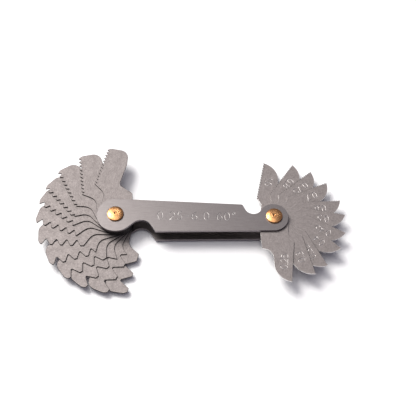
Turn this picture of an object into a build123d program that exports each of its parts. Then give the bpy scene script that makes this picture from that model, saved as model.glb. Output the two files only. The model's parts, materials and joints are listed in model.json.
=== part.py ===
"""Pocket screw pitch gauge: a two-plate case with a fan of toothed leaves on a rivet at each end.

Frame, in millimetres: the origin is on the left pivot axis, in the plane that the gauge rests on.
+X runs to the right pivot, +Y to the upper long side of the case, and +Z to the front plate.
"""

from build123d import *
from math import atan2, cos, degrees, radians, sin, tan
import os

os.makedirs("parts", exist_ok=True)

# Case: two parallel plates, with nothing between them but the two leaf stacks.
pivot_distance = 54.8
plate_thickness = 0.9
left_end_radius = 6.35
right_end_radius = 5.1

# Leaf stacks: each level holds one leaf and its share of the play.
stack_levels = 12
level_height = 0.4375
leaf_thickness = 0.42
leaf_play = level_height - leaf_thickness
pivot_hole_radius = 1.54

# Rivets: turned head in front, shank pressed through both plates, tail headed over behind.
shank_radius = 1.5
front_head_radius = 2.85
front_rim_height = 0.6
front_head_height = 1.05
dimple_radius = 0.28
dimple_depth = 0.22
rear_head_radius = 2.7
rear_head_height = 0.95
rest_face_radius = 2.2
washer_radius = 4.0

# Thread form of the teeth: 60 degree flanks, a flat crest and a narrow valley.
flank_half_angle = 30.0
crest_share = 0.25
valley_share = 0.10

# Heights of the layers, from the rest plane up.
back_plate_z = rear_head_height
stack_z = back_plate_z + plate_thickness
front_plate_z = stack_z + stack_levels * level_height
front_face_z = front_plate_z + plate_thickness

# Each leaf: pitch in mm, and the direction in degrees that its own X axis points at rest.
# The first in a list is nearest the front plate. A large leaf also has the width of the part
# crest that its first groove leaves at the tip, in mm.
large_leaves = [
    (1.25, 75.0, 0.10),
    (1.50, 97.5, 0.35),
    (1.75, 117.0, 0.10),
    (2.00, 132.5, 0.10),
    (2.50, 145.0, 0.20),
    (3.00, 160.5, 0.30),
    (3.50, 178.0, 0.60),
    (4.00, 197.0, 0.60),
    (4.50, 213.0, 1.05),
    (5.00, 227.0, 1.15),
    (5.50, 243.0, 1.30),
    (6.00, 257.0, 1.50),
]
small_leaves = [
    (0.25, -77.5),
    (0.30, -57.5),
    (0.35, -45.0),
    (0.40, -25.5),
    (0.45, -10.5),
    (0.50, 6.5),
    (0.60, 20.5),
    (0.70, 40.5),
    (0.75, 57.0),
    (0.80, 73.0),
    (1.00, 96.5),
]

# Outline of both plates: corner and fillet radius, anticlockwise from the lower left.
# The finger notches are at the lower left and the upper right.
case_outline = [
    ((-6.45, -6.6), left_end_radius),
    ((2.6, -6.6), 6.0),
    ((9.8, -0.1), 3.8),
    ((13.85, -6.55), 0.8),
    ((59.7, -5.45), right_end_radius),
    ((59.7, 4.9), right_end_radius),
    ((52.1, 4.9), 4.2),
    ((47.3, -2.0), 3.1),
    ((43.85, 4.6), 0.9),
    ((-6.45, 6.45), left_end_radius),
]

# Large leaf: its teeth run along the line from tooth_tip to tooth_root, parallel to X.
large_tooth_tip = (25.1, 10.95)
large_tooth_root = (10.2, 10.95)
large_outline = [
    (large_tooth_tip, 0),
    ((25.95, 9.8), 1.8),
    ((26.45, 3.4), 3.1),
    ((21.0, 2.4), 9.0),
    ((12.2, 2.5), 1.6),
    ((10.2, -2.95), 0.9),
    ((-6.1, -9.0), 6.1),
    ((-6.1, 6.15), 6.1),
    ((7.45, 6.25), 3.5),
    (large_tooth_root, 0),
]

# Small leaf: its teeth run from the pointed tip back to a step near the root.
small_tooth_tip = (25.3, 0.05)
small_tooth_root = (10.75, 4.5)
small_outline = [
    (small_tooth_tip, 0),
    ((22.7, -5.0), 7.0),
    ((11.9, -3.3), 3.5),
    ((10.95, -6.85), 0.3),
    ((-5.0, -4.8), 4.9),
    ((-5.0, 6.17), 4.9),
    ((8.7, 2.95), 3.0),
    (small_tooth_root, 0),
]


def rounded_outline(corners):
    """Draws the closed outline through the corners, each rounded to its own radius, and fills it."""
    points = [point for point, radius in corners]
    radii = [radius for point, radius in corners]
    with BuildLine() as outline:
        FilletPolyline(points, radius=radii, close=True)
    make_face(outline.edges())


def cut_teeth(tip, root, pitch, tip_crest):
    """Cuts 60 degree grooves into the straight edge from tip to root, the first tip_crest from the tip."""
    crest = crest_share * pitch
    valley = valley_share * pitch
    slope = tan(radians(flank_half_angle))
    depth = (pitch - crest - valley) / 2 / slope
    overshoot = 0.2 * pitch
    half_mouth = valley / 2 + (depth + overshoot) * slope
    run_x, run_y = root[0] - tip[0], root[1] - tip[1]
    edge_length = (run_x**2 + run_y**2) ** 0.5
    heading = degrees(atan2(run_y, run_x))
    first_groove = tip_crest + (pitch - crest) / 2
    grooves = int((edge_length - first_groove) / pitch) + 1
    for number in range(grooves):
        share = (first_groove + number * pitch) / edge_length
        with Locations(Location((tip[0] + share * run_x, tip[1] + share * run_y, 0), (0, 0, heading))):
            Polygon(
                (-half_mouth, -overshoot),
                (half_mouth, -overshoot),
                (valley / 2, depth),
                (-valley / 2, depth),
                align=None,
                mode=Mode.SUBTRACT,
            )


def leaf_plane(pivot_x, direction, level):
    """The underside of a leaf: origin on its pivot, X along its own X axis."""
    height = stack_z + (stack_levels - level) * level_height + leaf_play / 2
    x_axis = (cos(radians(direction)), sin(radians(direction)), 0)
    return Plane(origin=(pivot_x, 0, height), x_dir=x_axis, z_dir=(0, 0, 1))


def make_leaf(plane, outline, tip, root, pitch, tip_crest):
    """One leaf: outline, teeth and pivot hole, all through the sheet."""
    with BuildPart() as leaf:
        with BuildSketch(plane):
            rounded_outline(outline)
            cut_teeth(tip, root, pitch, tip_crest)
            Circle(pivot_hole_radius, mode=Mode.SUBTRACT)
        extrude(amount=leaf_thickness)
    return leaf.part


def make_plate(height):
    """One case plate with its two rivet holes."""
    with BuildPart() as plate:
        with BuildSketch(Plane.XY.offset(height)):
            rounded_outline(case_outline)
            with Locations((0, 0), (pivot_distance, 0)):
                Circle(shank_radius, mode=Mode.SUBTRACT)
        extrude(amount=plate_thickness)
    return plate.part


def make_rivet(pivot_x):
    """A solid rivet, turned about the pivot axis, with a domed front head and a flat-ended tail."""
    rim_top = front_face_z + front_rim_height
    crown = front_face_z + front_head_height
    dome_z = crown - dimple_depth / 4
    with BuildPart() as rivet:
        with BuildSketch(Plane(origin=(pivot_x, 0, 0), x_dir=(1, 0, 0), z_dir=(0, -1, 0))):
            with BuildLine():
                Polyline((0, 0), (rest_face_radius, 0))
                RadiusArc((rest_face_radius, 0), (rear_head_radius, rear_head_height / 2), -0.7)
                Polyline(
                    (rear_head_radius, rear_head_height / 2),
                    (rear_head_radius, rear_head_height),
                    (shank_radius, rear_head_height),
                    (shank_radius, front_face_z),
                    (front_head_radius, front_face_z),
                    (front_head_radius, rim_top),
                )
                ThreePointArc(
                    (front_head_radius, rim_top),
                    (front_head_radius * 0.6, rim_top + (dome_z - rim_top) * 0.68),
                    (dimple_radius, dome_z),
                )
                Polyline((dimple_radius, dome_z), (0, dome_z - dimple_depth), (0, 0))
            make_face()
        revolve(axis=Axis((pivot_x, 0, 0), (0, 0, 1)))
    return rivet.part


def leaf_name(pitch):
    return f"leaf_{pitch:.2f}_mm".replace(".", "_")


def save(part, name):
    part.label = name
    export_step(part, f"parts/{name}.step")


save(make_plate(back_plate_z), "back_plate")
save(make_plate(front_plate_z), "front_plate")
save(make_rivet(0), "left_rivet")
save(make_rivet(pivot_distance), "right_rivet")

# The right stack has one leaf fewer, so a plain washer fills its lowest level.
with BuildPart() as spacer_washer:
    with BuildSketch(leaf_plane(pivot_distance, 0, stack_levels)):
        Circle(washer_radius)
        Circle(pivot_hole_radius, mode=Mode.SUBTRACT)
    extrude(amount=leaf_thickness)
save(spacer_washer.part, "spacer_washer")

for level, (pitch, direction, tip_crest) in enumerate(large_leaves, start=1):
    plane = leaf_plane(0, direction, level)
    leaf = make_leaf(plane, large_outline, large_tooth_tip, large_tooth_root, pitch, tip_crest)
    save(leaf, leaf_name(pitch))

for level, (pitch, direction) in enumerate(small_leaves, start=1):
    plane = leaf_plane(pivot_distance, direction, level)
    leaf = make_leaf(plane, small_outline, small_tooth_tip, small_tooth_root, pitch, crest_share * pitch)
    save(leaf, leaf_name(pitch))
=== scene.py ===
"""The looks of a screw pitch gauge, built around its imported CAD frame.

Every piece is made again from its CAD node, in millimetres: the flat faces are made whole, the
outlines get the small rounding that stamped sheet has, the numbers are pressed in as real grooves,
and the two rivets are turned with finer detail. Each piece rides on its node's body.
"""

import json
import math

import bmesh
import bpy
from mathutils import Matrix, Vector


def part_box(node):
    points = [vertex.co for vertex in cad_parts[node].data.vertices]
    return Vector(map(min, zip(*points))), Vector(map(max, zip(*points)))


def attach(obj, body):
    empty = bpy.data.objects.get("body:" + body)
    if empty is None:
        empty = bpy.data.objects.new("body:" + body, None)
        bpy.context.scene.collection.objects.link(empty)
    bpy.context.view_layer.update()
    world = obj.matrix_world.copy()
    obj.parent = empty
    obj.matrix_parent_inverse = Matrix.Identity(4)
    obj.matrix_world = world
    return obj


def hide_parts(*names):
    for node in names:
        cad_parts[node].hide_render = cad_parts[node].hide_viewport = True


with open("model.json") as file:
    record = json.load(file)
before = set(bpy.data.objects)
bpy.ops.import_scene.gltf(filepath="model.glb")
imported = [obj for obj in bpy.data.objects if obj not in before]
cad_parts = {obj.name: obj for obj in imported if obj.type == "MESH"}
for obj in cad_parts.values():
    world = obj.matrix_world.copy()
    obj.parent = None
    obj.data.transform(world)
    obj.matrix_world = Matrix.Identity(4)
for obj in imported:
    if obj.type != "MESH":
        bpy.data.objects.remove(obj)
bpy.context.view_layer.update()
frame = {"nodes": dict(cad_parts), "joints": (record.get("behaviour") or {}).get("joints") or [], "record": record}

MM = 0.001
JOIN_DISTANCE_MM = 0.001

# ---------------------------------------------------------------- camera, floor and light

LOOK_AT = Vector((31.98, 6.02, 4.48)) * MM
CAMERA_DISTANCE = 399.1 * MM
CAMERA_ELEVATION = math.radians(59.5)
CAMERA_AZIMUTH = math.radians(-1.55)
CAMERA_ROLL = math.radians(2.12)
CAMERA_LENS_MM = 98.56

FLOOR_SIZE = 6.0
FLOOR_WHITE = (0.86, 0.86, 0.86, 1)
FLOOR_ROUGHNESS = 0.9
FLOOR_SHEEN = 0.1

WORLD_COLOUR = (0.86, 0.83, 1.0, 1)
# Strength of the surround at the horizon and overhead, and how steep a direction counts as overhead.
WORLD_AT_HORIZON = 0.24
WORLD_OVERHEAD = 0.34
WORLD_OVERHEAD_FROM = 0.9


def add_camera():
    """A long lens above the front of the gauge, rolled a little as the photograph is."""
    back = Vector((
        math.sin(CAMERA_AZIMUTH) * math.cos(CAMERA_ELEVATION),
        -math.cos(CAMERA_AZIMUTH) * math.cos(CAMERA_ELEVATION),
        math.sin(CAMERA_ELEVATION),
    ))
    level_right = Vector((0, 0, 1)).cross(back).normalized()
    level_up = back.cross(level_right)
    right = level_right * math.cos(CAMERA_ROLL) + level_up * math.sin(CAMERA_ROLL)
    up = level_up * math.cos(CAMERA_ROLL) - level_right * math.sin(CAMERA_ROLL)
    camera = bpy.data.objects.new("camera", bpy.data.cameras.new("camera"))
    bpy.context.scene.collection.objects.link(camera)
    axes = Matrix((right, up, back)).transposed().to_4x4()
    camera.matrix_world = Matrix.Translation(LOOK_AT + back * CAMERA_DISTANCE) @ axes
    camera.data.lens = CAMERA_LENS_MM
    camera.data.sensor_width = 36
    camera.data.clip_start = 0.01
    camera.data.clip_end = 20
    bpy.context.scene.camera = camera


def add_softbox(name, direction, distance, size, power, colour):
    """A round soft light at a distance from the gauge, facing it."""
    light = bpy.data.lights.new(name, "AREA")
    light.shape = "DISK"
    light.size = size
    light.energy = power
    light.color = colour
    lamp = bpy.data.objects.new(name, light)
    bpy.context.scene.collection.objects.link(lamp)
    away = Vector(direction).normalized()
    lamp.location = LOOK_AT + away * distance
    lamp.rotation_mode = "QUATERNION"
    lamp.rotation_quaternion = away.to_track_quat("Z", "Y")


def add_world():
    """A cool surround, brightest overhead, which fills the shadows."""
    world = bpy.data.worlds.new("studio")
    world.use_nodes = True
    tree = world.node_tree
    background = tree.nodes["Background"]
    direction = tree.nodes.new("ShaderNodeTexCoord")
    split = tree.nodes.new("ShaderNodeSeparateXYZ")
    tree.links.new(direction.outputs["Generated"], split.inputs["Vector"])
    strength = tree.nodes.new("ShaderNodeMapRange")
    tree.links.new(split.outputs["Z"], strength.inputs["Value"])
    strength.inputs["From Min"].default_value = 0.0
    strength.inputs["From Max"].default_value = WORLD_OVERHEAD_FROM
    strength.inputs["To Min"].default_value = WORLD_AT_HORIZON
    strength.inputs["To Max"].default_value = WORLD_OVERHEAD
    background.inputs["Color"].default_value = WORLD_COLOUR
    tree.links.new(strength.outputs["Result"], background.inputs["Strength"])
    bpy.context.scene.world = world


def add_floor():
    """A plain white table top at the height of the rear rivet ends."""
    half = FLOOR_SIZE / 2
    mesh = bpy.data.meshes.new("floor")
    corners = [(-half, -half, 0), (half, -half, 0), (half, half, 0), (-half, half, 0)]
    mesh.from_pydata(corners, [], [(0, 1, 2, 3)])
    floor = bpy.data.objects.new("floor", mesh)
    bpy.context.scene.collection.objects.link(floor)
    material = bpy.data.materials.new("floor_white")
    material.use_nodes = True
    shader = material.node_tree.nodes["Principled BSDF"]
    shader.inputs["Base Color"].default_value = FLOOR_WHITE
    shader.inputs["Roughness"].default_value = FLOOR_ROUGHNESS
    shader.inputs["Specular IOR Level"].default_value = FLOOR_SHEEN
    mesh.materials.append(material)


add_camera()
add_floor()
add_world()
add_softbox(
    "key", direction=(-0.47, 0.36, 0.80), distance=1.00, size=0.56, power=12.3,
    colour=(1.0, 0.98, 0.95),
)
add_softbox(
    "overhead", direction=(-0.20, 0.03, 0.98), distance=1.00, size=0.80, power=3.9,
    colour=(1.0, 0.975, 0.96),
)
bpy.context.scene.view_settings.view_transform = "Standard"

# ---------------------------------------------------------------- materials


class Finish:
    """A node material in the making: it adds nodes, joins them, and hands back their outputs."""

    def __init__(self, name):
        self.material = bpy.data.materials.new(name)
        self.material.use_nodes = True
        self.tree = self.material.node_tree
        self.shader = self.tree.nodes["Principled BSDF"]

    def feed(self, socket, value):
        """Gives a socket a constant, or joins another node's output to it."""
        if isinstance(value, bpy.types.NodeSocket):
            self.tree.links.new(value, socket)
        else:
            socket.default_value = value

    def place(self, stretch=(1, 1, 1)):
        """A point in the piece's own axes, in millimetres, stretched along each axis."""
        own = self.tree.nodes.new("ShaderNodeAttribute")
        own.attribute_name = "own_place"
        scaled = self.tree.nodes.new("ShaderNodeVectorMath")
        scaled.operation = "MULTIPLY"
        self.feed(scaled.inputs[0], own.outputs["Vector"])
        scaled.inputs[1].default_value = stretch
        return scaled.outputs["Vector"]

    def noise(self, where, scale, detail=3.0, roughness=0.55):
        """Smooth noise about 0.5, with features about 1 / scale millimetres across."""
        node = self.tree.nodes.new("ShaderNodeTexNoise")
        self.feed(node.inputs["Vector"], where)
        node.inputs["Scale"].default_value = scale
        node.inputs["Detail"].default_value = detail
        node.inputs["Roughness"].default_value = roughness
        return node.outputs["Fac"]

    def spread(self, value, low, high, start=0.3, stop=0.7):
        """Maps a value from start..stop to low..high."""
        node = self.tree.nodes.new("ShaderNodeMapRange")
        for socket, given in zip(node.inputs, (value, start, stop, low, high)):
            self.feed(socket, given)
        return node.outputs["Result"]

    def maths(self, operation, first, second=0.0):
        """One sum on two numbers."""
        node = self.tree.nodes.new("ShaderNodeMath")
        node.operation = operation
        self.feed(node.inputs[0], first)
        self.feed(node.inputs[1], second)
        return node.outputs["Value"]

    def mix(self, share, first, second):
        """A colour between two colours."""
        node = self.tree.nodes.new("ShaderNodeMix")
        node.data_type = "RGBA"
        self.feed(node.inputs["Factor"], share)
        self.feed(node.inputs[6], first)
        self.feed(node.inputs[7], second)
        return node.outputs[2]

    def bump(self, height, depth_mm, strength=1.0):
        """A normal tilted by a height from 0 to 1 that stands for depth_mm."""
        node = self.tree.nodes.new("ShaderNodeBump")
        node.inputs["Strength"].default_value = strength
        node.inputs["Distance"].default_value = depth_mm * MM
        self.feed(node.inputs["Height"], height)
        return node.outputs["Normal"]

    def worn_edge(self, reach_mm):
        """Near 0 on flat metal, and up to 1 where the surface turns within reach of a point."""
        rounded = self.tree.nodes.new("ShaderNodeBevel")
        rounded.samples = 6
        rounded.inputs["Radius"].default_value = reach_mm * MM
        geometry = self.tree.nodes.new("ShaderNodeNewGeometry")
        dot = self.tree.nodes.new("ShaderNodeVectorMath")
        dot.operation = "DOT_PRODUCT"
        self.feed(dot.inputs[0], rounded.outputs["Normal"])
        self.feed(dot.inputs[1], geometry.outputs["Normal"])
        return self.spread(dot.outputs["Value"], 1.0, 0.0, start=0.75, stop=0.99)


def rgb(red, green, blue):
    """A colour with full opacity."""
    return (red, green, blue, 1.0)


# Scales are in features per millimetre.
MOTTLE_SCALE = 2.4
BLOTCH_SCALE = 0.45
BLOTCH_SHARE = 0.2
WORN_REACH_MM = 0.12
WORN_SHARE = 0.35
WORN_STEEL = (0.70, 0.67, 0.64)
EDGE_LINE_SCALE = 6.0
EDGE_LINE_STRETCH = (1, 1, 0.15)
EDGE_LINE_DEPTH_MM = 0.006
RING_SCALE = 9.0
TARNISH_SCALE = 0.9
RING_BUMP_MM = 0.014
DARK_BRASS = (0.34, 0.155, 0.062)
LIGHT_BRASS = (0.66, 0.355, 0.150)


def sheet_steel(name, dark, light, stretch, grain, grain_depth, mottle, roughness):
    """Rolled or brushed steel sheet: long grain, mottling, and brighter worn edges."""
    finish = Finish(name)
    shader = finish.shader
    lines = finish.noise(finish.place(stretch), grain, detail=4.0, roughness=0.6)
    fine = finish.noise(finish.place(), MOTTLE_SCALE, detail=5.0, roughness=0.7)
    blotches = finish.noise(finish.place(), BLOTCH_SCALE, detail=4.0)
    from_lines = finish.spread(lines, 0.0, 1.0 - BLOTCH_SHARE - mottle)
    shade = finish.maths("ADD", from_lines, finish.spread(fine, 0.0, mottle))
    shade = finish.maths("ADD", shade, finish.spread(blotches, 0.0, BLOTCH_SHARE))
    colour = finish.mix(shade, rgb(*dark), rgb(*light))
    worn = finish.worn_edge(WORN_REACH_MM)
    colour = finish.mix(finish.maths("MULTIPLY", worn, WORN_SHARE), colour, rgb(*WORN_STEEL))
    finish.feed(shader.inputs["Base Color"], colour)
    shader.inputs["Metallic"].default_value = 1.0
    low, high = roughness
    finish.feed(shader.inputs["Roughness"], finish.spread(shade, high, low, 0.1, 0.9))
    height = finish.maths("ADD", lines, finish.maths("MULTIPLY", fine, 0.5))
    finish.feed(shader.inputs["Normal"], finish.bump(height, grain_depth))
    return finish.material


def cut_steel(name, dark, light, roughness):
    """Sheared edge or pressed groove: fine lines run across the thickness of the sheet."""
    finish = Finish(name)
    shader = finish.shader
    lines = finish.noise(finish.place(EDGE_LINE_STRETCH), EDGE_LINE_SCALE, detail=3.0)
    colour = finish.mix(finish.spread(lines, 0.0, 1.0), rgb(*dark), rgb(*light))
    finish.feed(shader.inputs["Base Color"], colour)
    shader.inputs["Metallic"].default_value = 1.0
    finish.feed(shader.inputs["Roughness"], finish.spread(lines, roughness + 0.08, roughness))
    finish.feed(shader.inputs["Normal"], finish.bump(lines, EDGE_LINE_DEPTH_MM))
    return finish.material


def turned_brass(name):
    """Brass faced on a lathe: rings about the pivot, a sheen that follows them, and faint tarnish."""
    finish = Finish(name)
    shader = finish.shader
    radius = finish.tree.nodes.new("ShaderNodeVectorMath")
    radius.operation = "LENGTH"
    finish.feed(radius.inputs[0], finish.place((1, 1, 0)))
    rings = finish.tree.nodes.new("ShaderNodeTexNoise")
    rings.noise_dimensions = "1D"
    rings.inputs["Scale"].default_value = RING_SCALE
    rings.inputs["Detail"].default_value = 3.0
    finish.feed(rings.inputs["W"], radius.outputs["Value"])
    ring = rings.outputs["Fac"]
    tarnish = finish.noise(finish.place(), TARNISH_SCALE, detail=4.0)
    shade = finish.maths("ADD", finish.spread(ring, 0.0, 0.5), finish.spread(tarnish, 0.0, 0.5))
    colour = finish.mix(shade, rgb(*DARK_BRASS), rgb(*LIGHT_BRASS))
    finish.feed(shader.inputs["Base Color"], colour)
    shader.inputs["Metallic"].default_value = 1.0
    finish.feed(shader.inputs["Roughness"], finish.spread(shade, 0.36, 0.22, 0.1, 0.9))
    shader.inputs["Anisotropic"].default_value = 0.3
    tangent = finish.tree.nodes.new("ShaderNodeTangent")
    tangent.direction_type = "RADIAL"
    tangent.axis = "Z"
    finish.feed(shader.inputs["Tangent"], tangent.outputs["Tangent"])
    finish.feed(shader.inputs["Normal"], finish.bump(ring, RING_BUMP_MM))
    return finish.material


CASE_STEEL = sheet_steel(
    "case_steel_brushed",
    dark=(0.145, 0.130, 0.127), light=(0.235, 0.216, 0.211),
    stretch=(0.05, 1, 1), grain=4.5, grain_depth=0.004, mottle=0.3, roughness=(0.33, 0.41),
)
LEAF_STEEL = sheet_steel(
    "leaf_steel_matt",
    dark=(0.135, 0.120, 0.115), light=(0.325, 0.293, 0.283),
    stretch=(0.35, 1, 1), grain=3.0, grain_depth=0.006, mottle=0.45, roughness=(0.58, 0.68),
)
# Painted highlight: a near-white cut edge for the small leaves, standing in for the lit floor and light that those
# walls reflect.
PAINTED_HIGHLIGHT_EDGE = cut_steel(
    "cut_edge_painted_highlight", dark=(0.60, 0.575, 0.56), light=(0.82, 0.80, 0.78), roughness=0.28,
)
# Painted shade: a near-black cut edge for the large leaves' walls, the small leaves' tooth walls and the washer's
# walls, standing in for the shade and shadow at those walls.
PAINTED_SHADE_EDGE = cut_steel(
    "cut_edge_painted_shade", dark=(0.014, 0.012, 0.012), light=(0.045, 0.040, 0.040), roughness=0.42,
)
PLATE_EDGE = cut_steel(
    "cut_edge_plate", dark=(0.15, 0.130, 0.136), light=(0.28, 0.250, 0.260), roughness=0.38,
)
LEAF_STAMP = cut_steel(
    "stamped_leaf", dark=(0.27, 0.250, 0.242), light=(0.44, 0.412, 0.400), roughness=0.36,
)
PLATE_STAMP = cut_steel(
    "stamped_plate", dark=(0.20, 0.186, 0.182), light=(0.33, 0.310, 0.302), roughness=0.36,
)
BRASS = turned_brass("rivet_brass_turned")

# ---------------------------------------------------------------- pieces from CAD nodes

JOINT_OF = {joint["child"]: joint for joint in frame["joints"]}
BODY_OF = {}
for body, members in frame["record"]["behaviour"]["bodies"].items():
    for node in members:
        BODY_OF[node] = body

# The direction in degrees that a leaf's own X axis points when the leaf is folded into the case.
FOLDED_TURN_LARGE = 337
FOLDED_TURN_SMALL = 190
# A pivot further along X than this, in metres, is the right one.
RIGHT_PIVOT_FROM = 0.02
# How near to level a face must be to be a flat face, as the upward part of its normal.
LEVEL_SLOPE = 0.999
CREASE_SLOPE = 0.9995
FLAT_ANGLE = math.radians(0.4)
CORNER_ANGLE = math.radians(50)
WELD_DISTANCE_MM = 1e-4


def cad_mesh(node):
    """A CAD node's surface in millimetres, with its vertices joined and its flat faces whole."""
    surface = bmesh.new()
    surface.from_mesh(frame["nodes"][node].data)
    bmesh.ops.scale(surface, vec=(1 / MM, 1 / MM, 1 / MM), verts=surface.verts)
    bmesh.ops.remove_doubles(surface, verts=surface.verts, dist=WELD_DISTANCE_MM)
    bmesh.ops.dissolve_limit(
        surface, angle_limit=FLAT_ANGLE, verts=surface.verts, edges=surface.edges,
    )
    surface.normal_update()
    return surface


def round_outline(surface, width):
    """Rounds the edges between flat faces and walls. Walls and rounding get the second material."""
    rims = []
    for edge in surface.edges:
        slopes = [abs(face.normal.z) for face in edge.link_faces]
        if max(slopes) - min(slopes) > 0.5:
            rims.append(edge)
    bmesh.ops.bevel(
        surface, geom=rims, offset=width, offset_type="OFFSET", segments=2, profile=0.5,
        affect="EDGES", clamp_overlap=True,
    )
    surface.normal_update()
    for face in surface.faces:
        on_flat = abs(face.normal.z) > LEVEL_SLOPE
        face.material_index = 0 if on_flat else 1
        face.smooth = not on_flat


def new_piece(name, surface, materials):
    """A scene object from a surface that is still in millimetres."""
    mesh = bpy.data.meshes.new(name)
    surface.to_mesh(mesh)
    surface.free()
    for material in materials:
        mesh.materials.append(material)
    piece = bpy.data.objects.new(name, mesh)
    bpy.context.scene.collection.objects.link(piece)
    return piece


def clean_and_crease(mesh):
    """Joins near-coincident points, then keeps level faces and sharp corners flat in the shading."""
    surface = bmesh.new()
    surface.from_mesh(mesh)
    bmesh.ops.remove_doubles(surface, verts=surface.verts, dist=JOIN_DISTANCE_MM)
    bmesh.ops.dissolve_degenerate(surface, edges=surface.edges, dist=JOIN_DISTANCE_MM)
    surface.normal_update()
    for face in surface.faces:
        face.smooth = True
    for edge in surface.edges:
        level = any(abs(face.normal.z) > CREASE_SLOPE for face in edge.link_faces)
        corner = edge.calc_face_angle(math.pi) > CORNER_ANGLE
        edge.smooth = not (level or corner)
    surface.to_mesh(mesh)
    surface.free()


def finish_piece(piece, node, origin, turn):
    """Scales a piece to metres, records its own axes for its grain, and puts it in the node's place."""
    mesh = piece.data
    mesh.validate()
    clean_and_crease(mesh)
    own_axes = Matrix.Rotation(-turn, 3, "Z")
    own = mesh.attributes.new("own_place", "FLOAT_VECTOR", "POINT")
    for vertex in mesh.vertices:
        own.data[vertex.index].vector = own_axes @ (vertex.co - origin)
    mesh.transform(Matrix.Scale(MM, 4))
    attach(piece, BODY_OF[node])
    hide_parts(node)


# ---------------------------------------------------------------- stamped numbers


def arc(centre_x, centre_y, radius_x, radius_y, start, stop, steps=16):
    """Points along part of an ellipse, for a digit drawn in a box 0.6 wide and 1 high."""
    points = []
    for step in range(steps + 1):
        angle = math.radians(start + (stop - start) * step / steps)
        points.append((
            centre_x + radius_x * math.cos(angle),
            centre_y + radius_y * math.sin(angle),
        ))
    return points


DIGIT_STROKES = {
    "0": [arc(0.30, 0.50, 0.26, 0.47, 0, 360, steps=24)],
    "1": [[(0.34, 0.97), (0.34, 0.03)], [(0.14, 0.78), (0.33, 0.96)]],
    "2": [arc(0.30, 0.70, 0.25, 0.27, 165, -35) + [(0.05, 0.04)], [(0.04, 0.03), (0.57, 0.03)]],
    "3": [arc(0.27, 0.74, 0.24, 0.23, 150, -80), arc(0.27, 0.27, 0.28, 0.25, 85, -150)],
    "4": [[(0.44, 0.03), (0.44, 0.97)], [(0.43, 0.96), (0.04, 0.29)], [(0.03, 0.28), (0.58, 0.28)]],
    "5": [
        arc(0.28, 0.33, 0.27, 0.30, 130, -145),
        [(0.13, 0.97), (0.11, 0.58)],
        [(0.12, 0.96), (0.53, 0.96)],
    ],
    "6": [arc(0.30, 0.30, 0.25, 0.27, 150, -210, steps=24), arc(0.62, 0.38, 0.57, 0.60, 105, 172)],
    "7": [[(0.56, 0.97), (0.22, 0.03)], [(0.05, 0.96), (0.55, 0.96)]],
    "8": [
        arc(0.30, 0.74, 0.21, 0.23, 0, 360, steps=20),
        arc(0.30, 0.27, 0.26, 0.25, 0, 360, steps=20),
    ],
    ".": [[(0.09, 0.04), (0.21, 0.04)]],
    "-": [[(0.08, 0.48), (0.52, 0.48)]],
    "°": [arc(0.22, 0.84, 0.13, 0.14, 0, 360, steps=16)],
    " ": [],
}
STROKE_STEP_MM = 0.004
GROOVE_SIDES = 8
GROOVE_END_REACH = 0.6
CHARACTER_WIDTH = 0.62
NARROW = {".": 0.30, "1": 0.50, " ": 0.45, "°": 0.45}


def text_width(text, gap):
    """How wide a text is for a height of 1, with a gap between its characters."""
    return sum(NARROW.get(character, CHARACTER_WIDTH) for character in text) + gap * (len(text) - 1)


def add_groove(cutter, points, radius, height):
    """Adds an eight-sided bar along a path, its centre at the given height, to cut a groove with."""
    closed = (Vector(points[0]) - Vector(points[-1])).length < 1e-6
    path = [Vector((x, y, 0)) for x, y in (points[:-1] if closed else points)]
    count = len(path)
    rings = []
    for index, here in enumerate(path):
        before = path[index - 1] if closed or index else here
        after = path[(index + 1) % count] if closed or index < count - 1 else here
        incoming = (here - before).normalized() if here != before else (after - here).normalized()
        outgoing = (after - here).normalized() if here != after else incoming
        along = (incoming + outgoing).normalized()
        across = Vector((-along.y, along.x, 0))
        reach = radius / max(0.5, along.dot(outgoing))
        ring = []
        for side in range(GROOVE_SIDES):
            angle = 2 * math.pi * side / GROOVE_SIDES
            offset = across * (reach * math.cos(angle))
            lift = Vector((0, 0, height + radius * math.sin(angle)))
            ring.append(cutter.verts.new(here + offset + lift))
        rings.append(ring)
    for index in range(count if closed else count - 1):
        first, second = rings[index], rings[(index + 1) % count]
        for side in range(GROOVE_SIDES):
            around = (side + 1) % GROOVE_SIDES
            cutter.faces.new((first[side], first[around], second[around], second[side]))
    if not closed:
        for ring, inner in ((rings[0], path[1]), (rings[-1], path[-2])):
            middle = sum((corner.co for corner in ring), Vector()) / GROOVE_SIDES
            outward = middle - inner
            outward.z = 0
            tip = cutter.verts.new(middle + outward.normalized() * radius * GROOVE_END_REACH)
            for side in range(GROOVE_SIDES):
                cutter.faces.new((ring[side], ring[(side + 1) % GROOVE_SIDES], tip))


def stamp(piece, text, centre, turn, face_height, style):
    """Presses a text into a piece's upper face, centred on a point and read along a direction.

    A style is the letter height, groove depth and groove width in millimetres, the gap between
    letters as a share of the letter height, and the material. Strokes of one character cross
    each other, so they are cut one after the other, each a little shallower than the last.
    """
    letter_height, depth, width, gap, material = style
    radius = (width ** 2 / 4 + depth ** 2) / (2 * depth)
    read_along = Matrix.Rotation(turn, 2)
    for order in range(max(len(DIGIT_STROKES[character]) for character in text)):
        cutter = bmesh.new()
        height = face_height + radius - depth + STROKE_STEP_MM * order
        start = -text_width(text, gap) / 2
        for character in text:
            strokes = DIGIT_STROKES[character]
            if order < len(strokes):
                placed = []
                for x, y in strokes[order]:
                    spot = read_along @ Vector(((start + x) * letter_height, (y - 0.5) * letter_height))
                    placed.append((centre.x + spot.x, centre.y + spot.y))
                add_groove(cutter, placed, radius, height)
            start += NARROW.get(character, CHARACTER_WIDTH) + gap
        bmesh.ops.recalc_face_normals(cutter, faces=cutter.faces)
        subtract(piece, new_piece(piece.name + "_tool", cutter, [material]))


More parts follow.
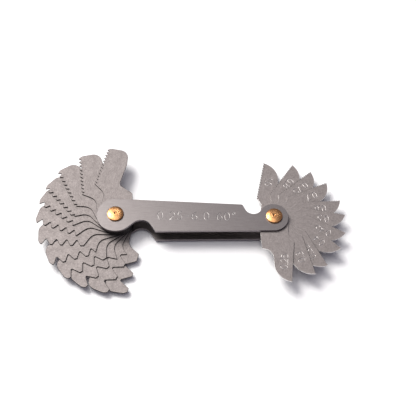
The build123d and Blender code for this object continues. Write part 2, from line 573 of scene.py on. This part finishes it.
def subtract(piece, tool):
    """Cuts a tool out of a piece, keeps the tool's material on the cut faces, and removes the tool."""
    cut = piece.modifiers.new("stamp", "BOOLEAN")
    cut.operation = "DIFFERENCE"
    cut.solver = "EXACT"
    cut.use_self = True
    cut.material_mode = "TRANSFER"
    cut.object = tool
    result = bpy.data.meshes.new_from_object(
        piece.evaluated_get(bpy.context.evaluated_depsgraph_get())
    )
    piece.modifiers.clear()
    piece.data = result
    bpy.data.objects.remove(tool)


# ---------------------------------------------------------------- leaves

SMALL_TOOTH_TIP = Vector((25.3, 0.05))
SMALL_TOOTH_ROOT = Vector((10.75, 4.5))
SMALL_TOOTH_LINE = math.atan2(
    SMALL_TOOTH_TIP.y - SMALL_TOOTH_ROOT.y, SMALL_TOOTH_TIP.x - SMALL_TOOTH_ROOT.x,
)
# Teeth are a little less deep than this share of their pitch.
TOOTH_DEPTH_SHARE = 0.60
# The widest rounding in millimetres. The bevel narrows it on a leaf whose teeth are too small.
SMALL_ROUNDING = 0.05
LARGE_ROUNDING = 0.10
NUMBER_CENTRE = Vector((17.3, -0.75))
NUMBER_STYLE = (2.5, 0.11, 0.36, 0.04, LEAF_STAMP)


def rest_turn(node):
    """A leaf's direction from its pivot at rest, from how far its joint has left to fold."""
    joint = JOINT_OF[node]
    folded = FOLDED_TURN_SMALL if joint["pos_m"][0] > RIGHT_PIVOT_FROM else FOLDED_TURN_LARGE
    return math.radians(folded - joint["range_deg"][1])


def leaf_pitch(node):
    """A leaf's pitch in millimetres, from its name."""
    return float(node.split("_")[1] + "." + node.split("_")[2])


def pitch_text(node):
    """The pitch as it is stamped: 0.25, 0.3, 1.0."""
    pitch = leaf_pitch(node)
    return f"{pitch:g}" if pitch != 1 else "1.0"


def mark_teeth(surface, pivot, turn, pitch):
    """Gives the walls between a small leaf's teeth the third material, the near-black painted shade."""
    along = (SMALL_TOOTH_ROOT - SMALL_TOOTH_TIP).normalized()
    own_axes = Matrix.Rotation(-turn, 2)
    for face in surface.faces:
        if face.material_index != 1:
            continue
        centre = face.calc_center_median()
        place = own_axes @ Vector((centre.x - pivot.x, centre.y - pivot.y)) - SMALL_TOOTH_TIP
        run = place.dot(along)
        away = (place - along * run).length
        if 0 < run < (SMALL_TOOTH_ROOT - SMALL_TOOTH_TIP).length and away < TOOTH_DEPTH_SHARE * pitch:
            face.material_index = 2


def add_leaf(node):
    """One leaf: flat faces with a rounded, cut outline, and its number if it is a small one."""
    surface = cad_mesh(node)
    pivot = Vector(JOINT_OF[node]["pos_m"]) / MM
    small = pivot.x > RIGHT_PIVOT_FROM / MM
    turn = rest_turn(node)
    round_outline(surface, SMALL_ROUNDING if small else LARGE_ROUNDING)
    if small:
        mark_teeth(surface, pivot, turn, leaf_pitch(node))
    # The small leaves' cut edges carry the painted highlight and the large leaves' cut edges the painted shade.
    edge = PAINTED_HIGHLIGHT_EDGE if small else PAINTED_SHADE_EDGE
    piece = new_piece(node + "_sheet", surface, [LEAF_STEEL, edge, PAINTED_SHADE_EDGE])
    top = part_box(node)[1].z / MM
    if small:
        spot = Matrix.Rotation(turn, 2) @ NUMBER_CENTRE
        centre = Vector((pivot.x + spot.x, pivot.y + spot.y))
        reading = turn + SMALL_TOOTH_LINE + math.pi
        stamp(piece, pitch_text(node), centre, reading, top, NUMBER_STYLE)
    finish_piece(piece, node, Vector((pivot.x, pivot.y, top)), turn)


for node in sorted(JOINT_OF):
    add_leaf(node)

# ---------------------------------------------------------------- case: plates, washer, rivets

PLATE_ROUNDING = 0.06
WASHER_ROUNDING = 0.04
PLATE_TEXT = "0.25-6.0 60°"
PLATE_TEXT_CENTRE = Vector((28.0, -0.3))
PLATE_TEXT_STYLE = (3.3, 0.09, 0.36, 0.16, PLATE_STAMP)


def add_plate(node, text=""):
    """One side plate of the case."""
    surface = cad_mesh(node)
    round_outline(surface, PLATE_ROUNDING)
    piece = new_piece(node + "_sheet", surface, [CASE_STEEL, PLATE_EDGE])
    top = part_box(node)[1].z / MM
    if text:
        stamp(piece, text, PLATE_TEXT_CENTRE, 0.0, top, PLATE_TEXT_STYLE)
    finish_piece(piece, node, Vector((0, 0, top)), 0.0)


add_plate("front_plate", PLATE_TEXT)
add_plate("back_plate")

washer_surface = cad_mesh("spacer_washer")
round_outline(washer_surface, WASHER_ROUNDING)
# The washer's walls get the near-black painted shade.
washer = new_piece("spacer_washer_ring", washer_surface, [LEAF_STEEL, PAINTED_SHADE_EDGE])
washer_low, washer_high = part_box("spacer_washer")
washer_origin = (washer_low + washer_high) / 2 / MM
finish_piece(washer, "spacer_washer", washer_origin, 0.0)


# Lengths are in millimetres. The rings are shallow grooves that the lathe left in the head.
RIVET_SEGMENTS = 96
CLEARANCE = 0.01
HEAD_FOOT_CHAMFER = 0.03
HEAD_FOOT_RISE = 0.05
SHANK_RADIUS = 1.5
HEAD_RADIUS = 2.85
HEAD_RIM = 0.60
RIM_CHAMFER = 0.10
DOME_POWER = 3.4
DOME_STEPS = 60
BULGE_STEPS = 5
DIMPLE_RADIUS = 0.42
DIMPLE_LIP = 0.10
DIMPLE_DEPTH = 0.30
DIMPLE_STEP_RADIUS_SHARE = 0.72
DIMPLE_STEP_DEPTH_SHARE = 0.7
RING_RADII = (0.95, 1.45, 1.95, 2.35)
RING_WIDTH = 0.16
RING_DEPTH = 0.018
TAIL_RADIUS = 2.70
TAIL_HEIGHT = 0.95
TAIL_REST_RADIUS = 2.20


def head_height(radius, rim, crown):
    """Height of the front head: nearly flat in the middle, and falling away to the rim."""
    height = crown - (crown - rim) * (radius / HEAD_RADIUS) ** DOME_POWER
    for ring in RING_RADII:
        away = abs(radius - ring) / (RING_WIDTH / 2)
        if away < 1:
            height -= RING_DEPTH * (1 - away * away)
    return height


def rivet_profile(face, crown):
    """Radius and height pairs from the foot of the tail up to the dimple, and its point's height."""
    rim = face + HEAD_RIM
    profile = [(TAIL_REST_RADIUS, 0.0)]
    for step in range(1, BULGE_STEPS + 1):
        turn = math.pi / 2 * step / BULGE_STEPS
        profile.append((
            TAIL_REST_RADIUS + (TAIL_RADIUS - TAIL_REST_RADIUS) * math.sin(turn),
            TAIL_HEIGHT / 2 * (1 - math.cos(turn)),
        ))
    profile += [
        (TAIL_RADIUS, TAIL_HEIGHT - CLEARANCE),
        (SHANK_RADIUS, TAIL_HEIGHT - CLEARANCE),
        (SHANK_RADIUS, face + CLEARANCE),
        (HEAD_RADIUS - HEAD_FOOT_CHAMFER, face + CLEARANCE),
        (HEAD_RADIUS, face + HEAD_FOOT_RISE),
        (HEAD_RADIUS, rim - RIM_CHAMFER),
    ]
    dome_start = HEAD_RADIUS - RIM_CHAMFER
    dome_end = DIMPLE_RADIUS + DIMPLE_LIP
    for step in range(DOME_STEPS + 1):
        radius = dome_start + (dome_end - dome_start) * step / DOME_STEPS
        profile.append((radius, head_height(radius, rim, crown)))
    profile.append((DIMPLE_RADIUS, crown - DIMPLE_LIP / 3))
    profile.append((
        DIMPLE_RADIUS * DIMPLE_STEP_RADIUS_SHARE, crown - DIMPLE_DEPTH * DIMPLE_STEP_DEPTH_SHARE,
    ))
    return profile, crown - DIMPLE_DEPTH


def add_rivet(node):
    """A rivet turned about its pivot axis, with rings and a centre mark left on its head."""
    low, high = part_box(node)
    axis = (low + high) / 2 / MM
    profile, bottom = rivet_profile(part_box("front_plate")[1].z / MM, high.z / MM)
    surface = bmesh.new()
    rings = []
    for radius, height in profile:
        ring = []
        for segment in range(RIVET_SEGMENTS):
            angle = 2 * math.pi * segment / RIVET_SEGMENTS
            ring.append(surface.verts.new((
                axis.x + radius * math.cos(angle), axis.y + radius * math.sin(angle), height,
            )))
        rings.append(ring)
    for below, above in zip(rings, rings[1:]):
        for segment in range(RIVET_SEGMENTS):
            around = (segment + 1) % RIVET_SEGMENTS
            surface.faces.new((below[segment], below[around], above[around], above[segment]))
    surface.faces.new(reversed(rings[0]))
    point = surface.verts.new((axis.x, axis.y, bottom))
    for segment in range(RIVET_SEGMENTS):
        surface.faces.new((rings[-1][segment], rings[-1][(segment + 1) % RIVET_SEGMENTS], point))
    piece = new_piece(node + "_turned", surface, [BRASS])
    finish_piece(piece, node, Vector((axis.x, axis.y, 0)), 0.0)


add_rivet("left_rivet")
add_rivet("right_rivet")
